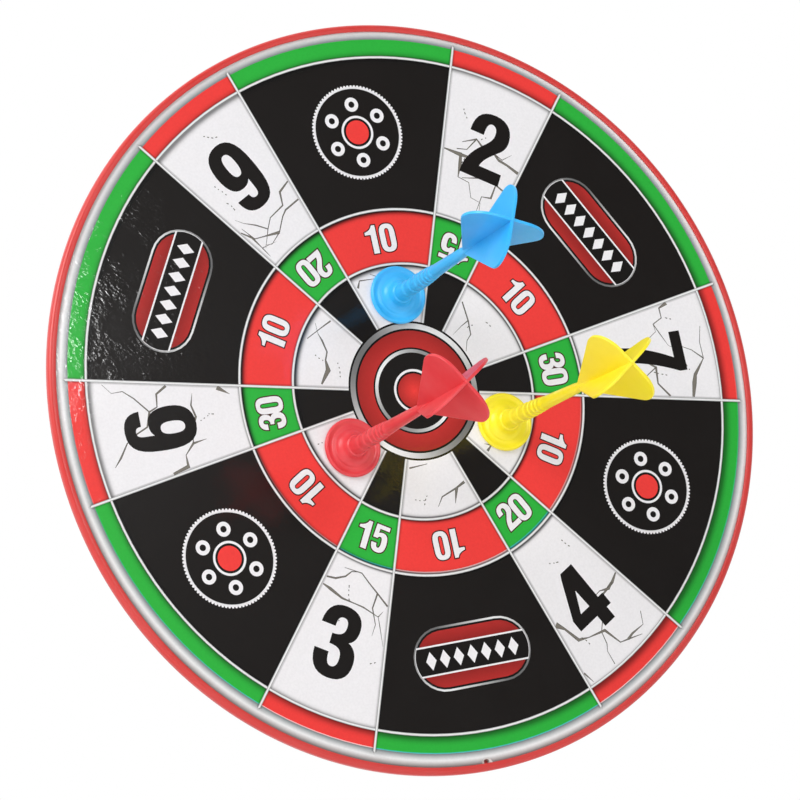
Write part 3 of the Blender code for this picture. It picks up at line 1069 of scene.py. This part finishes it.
def add_plaque(art, angle, inks):
    """A rounded plaque with a metal rim, two red bands and a row of white lozenges."""
    outward, across = axes(angle)
    middle = outward * MOTIF_RADIUS
    centre = tuple(middle)

    def laid(points):
        return [tuple(middle + across * x + outward * y) for x, y in points]

    def pill(end_radius, half_height=None):
        """A long shape with round ends, whole or only its middle band."""
        limit = math.asin((half_height or end_radius) / end_radius)
        ends = []
        for side in (1, -1):
            for number in range(PLAQUE_END_STEPS + 1):
                turn = limit * (1 - 2 * number / PLAQUE_END_STEPS)
                x = side * (PLAQUE_STRAIGHT + end_radius * math.cos(turn))
                ends.append((x, side * end_radius * math.sin(turn)))
        return laid(ends)

    art.add(pill(PLAQUE_RIM), brushed(centre, *PLAQUE_RIM_LEVELS, angle + PLAQUE_RIM_TURN))
    art.add(pill(PLAQUE_LINE), flat(scaled(inks.black, 0.7)))
    art.add(pill(PLAQUE_FIELD), glowing(centre, PLAQUE_GLOW, inks.red, scaled(inks.red, 0.30)))
    art.add(pill(*PLAQUE_BAND), flat(inks.white))
    art.add(pill(*PLAQUE_BAND_FIELD), flat(scaled(inks.black, 0.8)))
    for number in LOZENGES:
        x = number * LOZENGE_SPACING
        lozenge = (
            (x - LOZENGE_HALF_WIDTH, 0),
            (x, -LOZENGE_HALF_HEIGHT),
            (x + LOZENGE_HALF_WIDTH, 0),
            (x, LOZENGE_HALF_HEIGHT),
        )
        art.add(laid(lozenge), flat(inks.white))


def add_bulls_eye(art, inks):
    """Rings of metal, black and red round a red middle, over the wires' inner ends."""
    centre = (0.0, 0.0)
    rings = (
        (0.2060, flat(scaled(inks.black, 0.8))),
        (0.2000, brushed(centre, 112, 238, 40)),
        (0.1840, flat(scaled(inks.black, 0.6))),
        (0.1780, glowing(centre, 0.178, inks.red, scaled(inks.red, 0.42))),
        (0.1280, flat(scaled(inks.black, 0.6))),
        (0.1230, brushed(centre, 140, 240, 130)),
        (0.1130, flat(inks.black)),
        (0.0640, flat(inks.white)),
        (0.0570, flat(inks.black)),
        (0.0510, glowing(centre, 0.051, inks.red, scaled(inks.red, 0.5))),
    )
    for radius, paint in rings:
        art.add(disc(centre, radius, BULLS_EYE_STEPS), paint)


def add_large_digits(art, inks):
    for angle, digit, inward, across, up in LARGE_DIGITS:
        for number, contour in enumerate(digit_contours(digit)):
            moved = [(x + across, y + up) for x, y in contour]
            ink = inks.white if number else inks.black
            art.add(set_upright(moved, LARGE_RADIUS, angle, inward), flat(ink))


def add_small_digits(art, inks):
    """White pairs with a dark outline, over the red and green fields of the middle ring."""
    dark = blended(inks.black, inks.red, SMALL_OUTLINE_RED)
    for angle, pair, inward in SMALL_PLACES:
        under = inks.green if angle in NARROW_MIDDLES else inks.red
        outlines, faces, counter_outlines, counters = [], [], [], []
        for digit, across, up, width, height in SMALL_PAIRS[pair]:
            contours = [
                [(x * width + across, y * height + up) for x, y in contour]
                for contour in digit_contours(digit)
            ]
            outlines.append((grown(contours[0], SMALL_OUTLINE), dark))
            faces.append((contours[0], inks.white))
            for counter in contours[1:]:
                counter_outlines.append((counter, dark))
                counters.append((grown(counter, -SMALL_OUTLINE * COUNTER_OUTLINE_SHARE), under))
        for outline, ink in outlines + faces + counter_outlines + counters:
            art.add(set_upright(outline, SMALL_RADIUS, angle, inward), flat(ink))


def add_wires(art):
    """The three ring wires, then the twelve spokes with their pointed ends."""
    for radius in (INNER_WIRE, MIDDLE_WIRE, OUTER_WIRE):
        art.ring(radius - WIRE_HALF, radius + WIRE_HALF, ring_wire(radius))
        for away in [away for away, _ in WIRE_PROFILE] + list(RING_GUIDES):
            for side in (-1, 1):
                art.guide_circle(radius + side * away)
    for angle in SPOKE_ANGLES:
        along, across = axes(angle)
        middle = spoke_middle(angle)

        def at(radius, away):
            return tuple(along * radius + across * (middle + away))

        outline = [
            at(SPOKE_START, -WIRE_HALF),
            at(SPOKE_START, WIRE_HALF),
            at(SPOKE_END, WIRE_HALF),
            at(SPOKE_TIP, SPOKE_TIP_WIDTH),
            at(SPOKE_TIP, -SPOKE_TIP_WIDTH),
            at(SPOKE_END, -WIRE_HALF),
        ]
        art.add(outline, spoke_wire(angle))
        for away in [away for away, _ in WIRE_PROFILE[:-1]] + list(SPOKE_GUIDES):
            for side in (-1, 1):
                art.guide([at(SPOKE_START, side * away), at(SPOKE_END, side * away)])


# The small hole's nick in the sheet, at the board's lower edge
NICK_RADIUS = 0.0028
NICK_ANGLE = 181.2
NICK_MIDDLE = 0.1766
NICK_STEPS = 24


def print_sheet_mesh(settings):
    """The printed sheet: one cut of all shapes, with its ink on the face corners, and a plain back."""
    unit = settings.unit
    centre = (-settings.right / unit, -settings.up / unit)
    art = Artwork()
    art.add(disc(centre, SHEET_RADIUS / unit, SHEET_STEPS), silver)
    for radius in SILVER_GUIDES:
        art.guide_circle(radius)
    add_fields(art, settings)
    add_cracks(art, settings)
    for angle in ROSETTE_ANGLES:
        add_rosette(art, angle, settings)
    for angle in PLAQUE_ANGLES:
        add_plaque(art, angle, settings)
    add_large_digits(art, settings)
    add_small_digits(art, settings)
    add_wires(art)
    add_bulls_eye(art, settings)
    nick_x, nick_y = polar(NICK_MIDDLE / unit, NICK_ANGLE)
    nick_centre = (centre[0] + nick_x, centre[1] + nick_y)
    nick = len(art.paints)
    art.add(disc(nick_centre, NICK_RADIUS / unit, NICK_STEPS), flat(settings.white))
    places, triangles, tops = art.cut()

    shape = bmesh.new()
    ink = shape.loops.layers.float_color.new(INK_LAYER)
    corners = [
        shape.verts.new((settings.right + place.x * unit, FACE_Y, settings.up + place.y * unit))
        for place in places
    ]
    for triangle, top in zip(triangles, tops):
        if top is None or top == nick:
            continue
        face = shape.faces.new([corners[corner] for corner in triangle])
        for loop, corner in zip(face.loops, triangle):
            loop[ink] = (*art.paints[top](places[corner]), 1.0)
    loose = [corner for corner in shape.verts if not corner.link_faces]
    bmesh.ops.delete(shape, geom=loose, context="VERTS")
    rim = [edge for edge in shape.edges if edge.is_boundary]
    walls = bmesh.ops.extrude_edge_only(shape, edges=rim)["geom"]
    for vertex in of_kind(walls, bmesh.types.BMVert):
        vertex.co.y = SHEET_BACK_Y
    back_edges = [edge for edge in of_kind(walls, bmesh.types.BMEdge) if edge.is_boundary]
    closing = bmesh.ops.edgeloop_fill(shape, edges=back_edges)["faces"]
    for face in of_kind(walls, bmesh.types.BMFace) + closing:
        for loop in face.loops:
            loop[ink] = (*settings.white, 1.0)
    return closed_mesh(shape, bpy.data.meshes.new("printed_sheet"))


# Section of the trim, and where its strip's ends meet
SEAM_ANGLE = 178.1
TRIM_STEPS = 288
CORNER_STEPS = 8
LIP_ROUND = 0.00022
LIP_CROWN = 0.00010
LIP_STEPS = 3


def arc_points(centre, radius, start, end, steps):
    """Points of a circle from one angle to another, in degrees, both ends included."""
    turns = [math.radians(start + (end - start) * step / steps) for step in range(steps + 1)]
    return [(centre[0] + radius * math.cos(turn), centre[1] + radius * math.sin(turn)) for turn in turns]


def trim_section(trim):
    """The channel's section as (radius, height) points, with eased lip edges."""
    middle = trim.radius - trim.corner
    slot = trim.radius - trim.wall
    rear = trim.radius - trim.rear
    front = trim.radius - trim.front
    top = TRIM_DEPTH
    section = arc_points((rear + LIP_ROUND, LIP_ROUND), LIP_ROUND, 180, 270, LIP_STEPS)
    section += arc_points((middle, trim.corner), trim.corner, -90, 0, CORNER_STEPS)
    section += arc_points((middle, top - trim.corner), trim.corner, 0, 90, CORNER_STEPS)
    section += arc_points((front + LIP_ROUND, top - LIP_ROUND - LIP_CROWN), LIP_ROUND, 90, 180, LIP_STEPS)
    section += [
        (front, top - trim.lip),
        (slot, top - trim.lip),
        (slot, trim.lip),
        (rear + LIP_ROUND, trim.lip),
        (rear, trim.lip - LIP_ROUND),
    ]
    return section


# Shape of the cup and neck, in metres from the board's side of the cup
CUP_STEPS = 72
CUP_SEAL_DROP = 0.00022
CUP_HOLLOW_CROWN = 0.00006
DISH_HEIGHT = 0.0013
FLARE_WIDTH = 0.0050
FLARE_FALL = 0.0036
FLARE_END = 0.0021
FLARE_POINTS = 6
NECK_TAPER_START = 0.0300
NECK_TAPER_POWER = 1.6
NECK_PLAIN_END = 0.0010
NECK_EASE = 0.0002
RIB_START = 0.0034
RIB_FADE = 0.55
TURN_RADIUS = 0.010

# Clearance of the plug in its socket, and of the shaft's shoulder to the neck's end
FIT_GAP = 0.0003
SHOULDER_GAP = 0.0001

# Valleys between the ribs as shares of the ribbed run, wider apart near the cup
RIB_VALLEYS = (0.0, 0.085, 0.29, 0.455, 0.62, 0.73, 0.825, 0.91, 1.0)

# One rib from its outer valley inwards, as (share of its length, share of its height)
RIB_SHAPE = (
    (1.0, 0.0),
    (0.955, 0.30),
    (0.92, 0.72),
    (0.88, 0.95),
    (0.83, 1.0),
    (0.70, 0.93),
    (0.52, 0.72),
    (0.34, 0.42),
    (0.18, 0.16),
)

# Dish with a faint ring, rolled rim and seal, from the flare outwards and under: (in from the edge, height)
RIM_POINTS = (
    (0.00560, 0.00178),
    (0.00520, 0.00160),
    (0.00480, 0.00158),
    (0.00440, 0.00160),
    (0.00400, 0.00148),
    (0.00350, 0.00138),
    (0.00300, 0.00135),
    (0.00250, 0.00139),
    (0.00200, 0.00152),
    (0.00160, 0.00168),
    (0.00120, 0.00178),
    (0.00085, 0.00176),
    (0.00050, 0.00160),
    (0.00020, 0.00130),
    (0.00002, 0.00090),
    (0.00008, 0.00050),
    (0.00030, 0.00010),
    (0.00070, -0.00018),
    (0.00105, -CUP_SEAL_DROP),
    (0.00150, -0.00012),
    (0.0032, 0.00035),
    (0.0060, 0.00078),
    (0.0100, 0.00104),
)


def taper_share(height):
    """How far along its tapered end the neck is, from 0 to 1."""
    return max(0.0, height - NECK_TAPER_START) / (NECK_LENGTH - NECK_TAPER_START)


def neck_radius(darts, height):
    """The neck's radius without its ribs: a flare off the dish, a straight run and a tapered end."""
    drop = (darts.neck - darts.neck_end) / 2 * taper_share(height) ** NECK_TAPER_POWER
    flare = FLARE_WIDTH * math.exp((DISH_HEIGHT - height) / FLARE_FALL)
    return darts.neck / 2 - drop + flare


def cup_section(darts):
    """Socket, ribbed neck, flare, rolled rim and hollow underside, from the axis round to the axis."""
    bore = darts.plug / 2 + FIT_GAP
    bore_floor = NECK_LENGTH - darts.plug_length - FIT_GAP
    end = darts.neck_end / 2
    section = [
        (0.0, bore_floor),
        (bore, bore_floor),
        (bore, NECK_LENGTH - NECK_EASE),
        (bore + NECK_EASE, NECK_LENGTH),
        (end - NECK_EASE, NECK_LENGTH),
        (end, NECK_LENGTH - NECK_EASE),
    ]
    ribbed = NECK_LENGTH - NECK_PLAIN_END - RIB_START
    valleys = [RIB_START + ribbed * valley for valley in RIB_VALLEYS]
    for low, high in reversed(list(zip(valleys, valleys[1:]))):
        for along, up in RIB_SHAPE:
            height = low + (high - low) * along
            rise = darts.rib_height * up * (1 - RIB_FADE * taper_share(height))
            section.append((neck_radius(darts, height) + rise, height))
    for number in range(FLARE_POINTS + 1):
        height = RIB_START + (FLARE_END - RIB_START) * number / FLARE_POINTS
        section.append((neck_radius(darts, height), height))
    edge = darts.cup / 2
    section += [(edge - inwards, height) for inwards, height in RIM_POINTS]
    section.append((0.0, RIM_POINTS[-1][1] + CUP_HOLLOW_CROWN))
    return section


# Shape of the shaft and fins
SHAFT_STEPS = 48
FIN_COUNT = 4
FIN_EDGE_ROUND = 0.00028
FIN_EDGE_STEPS = 2
FIN_ARC_STEPS = 22
TAIL_BOSS = 0.0006
TAIL_START_SHARE = 0.30
SHAFT_EASE = 0.0002
SHOULDER_ROUND = 0.3

# The tail's rounded end, as (share of its radius, share of the boss's height)
TAIL_ROUND = ((0.86, 0.6), (0.5, 1.0), (0.0, 1.0))


def shaft_section(darts, tail_height):
    """Plug, shoulder, tapering shaft and the core between the fins, from axis to axis."""
    shoulder = NECK_LENGTH + SHOULDER_GAP
    root = tail_height - darts.flight
    plug = darts.plug / 2
    start = darts.shaft / 2
    tail = darts.tail / 2
    section = [
        (0.0, NECK_LENGTH - darts.plug_length),
        (plug - SHAFT_EASE, NECK_LENGTH - darts.plug_length),
        (plug, NECK_LENGTH - darts.plug_length + SHAFT_EASE),
        (plug, shoulder),
        (start - SHAFT_EASE, shoulder),
        (start - SHAFT_EASE * SHOULDER_ROUND, shoulder + SHAFT_EASE * SHOULDER_ROUND),
        (start, shoulder + SHAFT_EASE),
        (darts.shaft_end / 2, root),
        (tail, root + darts.flight * TAIL_START_SHARE),
        (tail, tail_height - SHAFT_EASE),
    ]
    section += [(tail * across, tail_height + TAIL_BOSS * up) for across, up in TAIL_ROUND]
    return section


def fin_mesh(darts, tail_height):
    """One fin as a plate with rounded edges: straight leading and trailing edges and a large corner."""
    root = tail_height - darts.flight
    centre = (darts.span - darts.corner, tail_height - darts.corner)
    reach = math.hypot(centre[0], centre[1] - root)
    lean = math.atan2(centre[0], centre[1] - root) + math.asin(darts.corner / reach)
    outline = [(0.0, root)]
    outline += arc_points(centre, darts.corner, -math.degrees(lean), 90, FIN_ARC_STEPS)
    outline += [(0.0, tail_height)]
    shape = bmesh.new()
    face = shape.faces.new([shape.verts.new((x, -darts.fin / 2, z)) for x, z in outline])
    other_side = bmesh.ops.extrude_face_region(shape, geom=[face])["geom"]
    bmesh.ops.translate(shape, verts=of_kind(other_side, bmesh.types.BMVert), vec=(0, darts.fin, 0))
    bmesh.ops.recalc_face_normals(shape, faces=shape.faces)
    edges = [
        edge
        for edge in shape.edges
        if edge.verts[0].co.y == edge.verts[1].co.y and max(vertex.co.x for vertex in edge.verts) > 0
    ]
    bmesh.ops.bevel(
        shape,
        geom=edges,
        offset=FIN_EDGE_ROUND,
        segments=FIN_EDGE_STEPS,
        profile=0.5,
        affect="EDGES",
        clamp_overlap=True,
    )
    mesh = bpy.data.meshes.new("fin")
    shape.to_mesh(mesh)
    shape.free()
    return mesh


# How each dart's fins are turned, in degrees, and how far its tail leans aside in its soft neck (right, up)
FIN_TURNS = {"blue": 67, "red": 33, "yellow": 35}
TAIL_LEANS = {"blue": (-0.0020, 0.0026), "red": (-0.0016, 0.0025), "yellow": (0.0004, -0.0009)}
LEAN_START = 0.006
LEAN_EASE = 0.08


def set_on_board(mesh, colour_name):
    """Bends a dart's piece by the dart's lean and puts it in its place on the board."""
    low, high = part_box(f"{colour_name}_suction_cup")
    lean = TAIL_LEANS[colour_name]
    for vertex in mesh.vertices:
        share_along = max(0.0, (vertex.co.z - LEAN_START) / (DART_LENGTH - LEAN_START))
        eased = share_along * share_along / (share_along + LEAN_EASE) * (1 + LEAN_EASE)
        vertex.co.x += lean[0] * eased
        vertex.co.y += lean[1] * eased
    place = Matrix.Translation(((low.x + high.x) / 2, high.y, (low.z + high.z) / 2))
    mesh.transform(place @ UPRIGHT)
    mesh.update()


# Papers of the core and the back sheet: colours of pale and dark fibres, and their grain
CORE_PAPER = (screen(236, 234, 230), screen(206, 202, 194), 0.0007)
BACK_PAPER = (screen(232, 230, 226), screen(214, 210, 203), 0.0012)


class TARGET_OT_board_layers(bpy.types.Operator):
    """Gives the core and the back sheet their paper finishes"""

    bl_idname = "target.board_layers"
    bl_label = "Finish core and back"

    def execute(self, context):
        core = fibre_board("core_board", *CORE_PAPER)
        back = fibre_board("back_paper", *BACK_PAPER)
        for node, finish in (("board_core", core), ("back_sheet", back)):
            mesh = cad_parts[node].data
            for number in range(len(mesh.materials)):
                mesh.materials[number] = finish
        return {"FINISHED"}


class TARGET_OT_print_face(bpy.types.Operator):
    """Prints and laminates the face sheet"""

    bl_idname = "target.print_face"
    bl_label = "Print the face"

    def execute(self, context):
        settings = context.scene.target_print
        mesh = print_sheet_mesh(settings)
        mesh.materials.append(laminated_print(settings.gloss, settings.film))
        piece("printed_sheet", mesh, "board", "front_print_sheet")
        return {"FINISHED"}


class TARGET_OT_edge_trim(bpy.types.Operator):
    """Sweeps the red channel round the board's edge"""

    bl_idname = "target.edge_trim"
    bl_label = "Push on the edge trim"

    def execute(self, context):
        trim = context.scene.target_trim
        half_gap = trim.seam / 2 / trim.radius
        section = section_mesh("trim_section", trim_section(trim), trim.radius, closed=True)
        mesh = baked(
            "trim_strip",
            section,
            strip_tree(),
            Radius=trim.radius,
            Start=math.radians(90 - SEAM_ANGLE) + half_gap,
            Sweep=math.tau - 2 * half_gap,
            Steps=TRIM_STEPS,
            Material=trim_plastic(tuple(trim.colour)),
        )
        mesh.transform(UPRIGHT)
        piece("trim_strip", mesh, "board", "edge_trim", TRIM_SMOOTH)
        return {"FINISHED"}


class TARGET_OT_suction_cups(bpy.types.Operator):
    """Turns the three ribbed suction cups"""

    bl_idname = "target.suction_cups"
    bl_label = "Mould the suction cups"

    def execute(self, context):
        darts = context.scene.target_darts
        tree = turned_tree()
        for name in FIN_TURNS:
            finish = dart_plastic(f"{name}_cup_plastic", tuple(getattr(darts, name)))
            section = section_mesh(f"{name}_cup_section", cup_section(darts), TURN_RADIUS)
            mesh = baked(f"{name}_cup", section, tree, Radius=TURN_RADIUS, Steps=CUP_STEPS, Material=finish)
            set_on_board(mesh, name)
            piece(f"{name}_cup", mesh, f"{name}_dart", f"{name}_suction_cup", CUP_SMOOTH)
        return {"FINISHED"}


class TARGET_OT_flights(bpy.types.Operator):
    """Moulds the three shafts with their four fins"""

    bl_idname = "target.flights"
    bl_label = "Mould the shafts and fins"

    def execute(self, context):
        darts = context.scene.target_darts
        tail_height = DART_LENGTH - TAIL_BOSS
        turning = turned_tree()
        growing = flight_tree()
        fin = placed("fin_pattern", fin_mesh(darts, tail_height))
        for name, turn in FIN_TURNS.items():
            finish = dart_plastic(f"{name}_flight_plastic", tuple(getattr(darts, name)))
            section = section_mesh(f"{name}_shaft_section", shaft_section(darts, tail_height), TURN_RADIUS)
            shaft_inputs = {"Radius": TURN_RADIUS, "Steps": SHAFT_STEPS, "Material": finish}
            shaft = baked(f"{name}_shaft", section, turning, **shaft_inputs)
            fin_inputs = {"Fin": fin, "Fins": FIN_COUNT, "Turn": math.radians(turn), "Material": finish}
            mesh = baked(f"{name}_flight", shaft, growing, **fin_inputs)
            set_on_board(mesh, name)
            piece(f"{name}_flight", mesh, f"{name}_dart", f"{name}_shaft_flight", FLIGHT_SMOOTH)
        bpy.data.objects.remove(fin, do_unlink=True)
        return {"FINISHED"}


# Camera, lights, floor and surroundings
SENSOR_WIDTH = 36.0
CAMERA_PLACE = (-0.8074, -1.6971, -0.24694)
CAMERA_FORWARD = (0.42362799, 0.89650557, 0.12968075)
CAMERA_UP = (0.14044724, -0.20643582, 0.96832785)
KEY_PLACE = (-2.4, -1.9, 2.2)
KEY_SIZE = 2.4
FILL_PLACE = (-0.8, -1.2, -1.1)
FILL_SIZE = 1.4
GLINT_PLACE = (0.305, -2.15, 0.386)
GLINT_SIZE = 0.58
GLINT_TALL = 0.12
FLOOR_HALF = 6.0
FLOOR_CORNERS = ((-1, -1), (1, -1), (1, 1), (-1, 1))
WHITE_LIGHT = (1.0, 1.0, 1.0, 1.0)
FRONT_WORLD = 0.15
SIDE_WORLD = 1.06
SIDE_START = -0.5
SIDE_FULL = -0.1


def soft_light(name, place, watts, wide, tall):
    """Adds an elliptical light that looks at the board's centre."""
    data = bpy.data.lights.new(name, "AREA")
    data.shape = "ELLIPSE"
    data.size = wide
    data.size_y = tall
    data.energy = watts
    made = placed(name, data)
    made.location = place
    made.rotation_euler = (-Vector(place)).to_track_quat("-Z", "Y").to_euler()


def add_camera(lens):
    data = bpy.data.cameras.new("camera")
    data.sensor_width = SENSOR_WIDTH
    data.lens = lens
    made = placed("camera", data)
    forward = Vector(CAMERA_FORWARD).normalized()
    right = forward.cross(Vector(CAMERA_UP)).normalized()
    up = right.cross(forward)
    turn = Matrix((right, up, -forward)).transposed()
    made.matrix_world = Matrix.Translation(CAMERA_PLACE) @ turn.to_4x4()
    bpy.context.scene.camera = made


def add_world():
    """White surroundings for the camera. For the light they are dim in front and bright beside and behind."""
    world = bpy.data.worlds.new("studio")
    world.use_nodes = True
    bpy.context.scene.world = world
    tree = world.node_tree
    backdrop = tree.nodes["Background"]
    backdrop.inputs["Color"].default_value = WHITE_LIGHT
    direction = add_node(tree, "ShaderNodeTexCoord")
    parts = add_node(tree, "ShaderNodeSeparateXYZ", direction.outputs["Generated"])
    limits = {"From_Min": SIDE_START, "From_Max": SIDE_FULL, "To_Min": FRONT_WORLD, "To_Max": SIDE_WORLD}
    strength = add_node(tree, "ShaderNodeMapRange", Value=parts.outputs["Y"], **limits)
    around = add_node(
        tree, "ShaderNodeBackground", Color=WHITE_LIGHT, Strength=strength.outputs["Result"]
    )
    path = add_node(tree, "ShaderNodeLightPath")
    lights = (around.outputs["Background"], backdrop.outputs["Background"])
    mix = add_node(tree, "ShaderNodeMixShader", path.outputs["Is Camera Ray"], *lights)
    tree.links.new(mix.outputs["Shader"], tree.nodes["World Output"].inputs["Surface"])


class TARGET_OT_stage(bpy.types.Operator):
    """Sets up the floor, the soft light and the camera"""

    bl_idname = "target.stage"
    bl_label = "Set up the stage"

    def execute(self, context):
        stage = context.scene.target_stage
        add_camera(stage.lens)
        add_world()
        soft_light("key_light", KEY_PLACE, stage.key, KEY_SIZE, KEY_SIZE)
        soft_light("fill_light", FILL_PLACE, stage.fill, FILL_SIZE, FILL_SIZE)
        soft_light("glint_light", GLINT_PLACE, stage.glint, GLINT_SIZE, GLINT_TALL)
        mesh = bpy.data.meshes.new("floor")
        corners = [(x * FLOOR_HALF, y * FLOOR_HALF, stage.floor) for x, y in FLOOR_CORNERS]
        mesh.from_pydata(corners, [], [range(len(corners))])
        mesh.materials.append(floor_paint(tuple(stage.pale)))
        floor = placed("floor", mesh)
        context.scene.view_settings.view_transform = "Standard"
        return {"FINISHED"}


class TARGET_PT_looks(bpy.types.Panel):
    """Lists the settings and the steps in their order"""

    bl_idname = "TARGET_PT_looks"
    bl_label = "Dart Target"
    bl_space_type = "VIEW_3D"
    bl_region_type = "UI"
    bl_category = "Dart Target"

    def draw(self, context):
        for title, group in SETTINGS.items():
            box = self.layout.box()
            box.label(text=group.__doc__)
            settings = getattr(context.scene, title)
            for name in group.__annotations__:
                box.prop(settings, name)
        for operator in OPERATORS:
            self.layout.operator(operator.bl_idname)


SETTINGS = {
    "target_print": PrintSettings,
    "target_trim": TrimSettings,
    "target_darts": DartSettings,
    "target_stage": StageSettings,
}
OPERATORS = (
    TARGET_OT_stage,
    TARGET_OT_board_layers,
    TARGET_OT_print_face,
    TARGET_OT_edge_trim,
    TARGET_OT_suction_cups,
    TARGET_OT_flights,
)


def register():
    for made in (*SETTINGS.values(), *OPERATORS, TARGET_PT_looks):
        bpy.utils.register_class(made)
    for name, group in SETTINGS.items():
        setattr(bpy.types.Scene, name, PointerProperty(type=group))


def unregister():
    for name in SETTINGS:
        delattr(bpy.types.Scene, name)
    for made in reversed((*SETTINGS.values(), *OPERATORS, TARGET_PT_looks)):
        bpy.utils.unregister_class(made)


def main():
    register()
    bpy.ops.target.stage()
    bpy.ops.target.board_layers()
    bpy.ops.target.print_face()
    bpy.ops.target.edge_trim()
    bpy.ops.target.suction_cups()
    bpy.ops.target.flights()


if __name__ == "__main__":
    main()
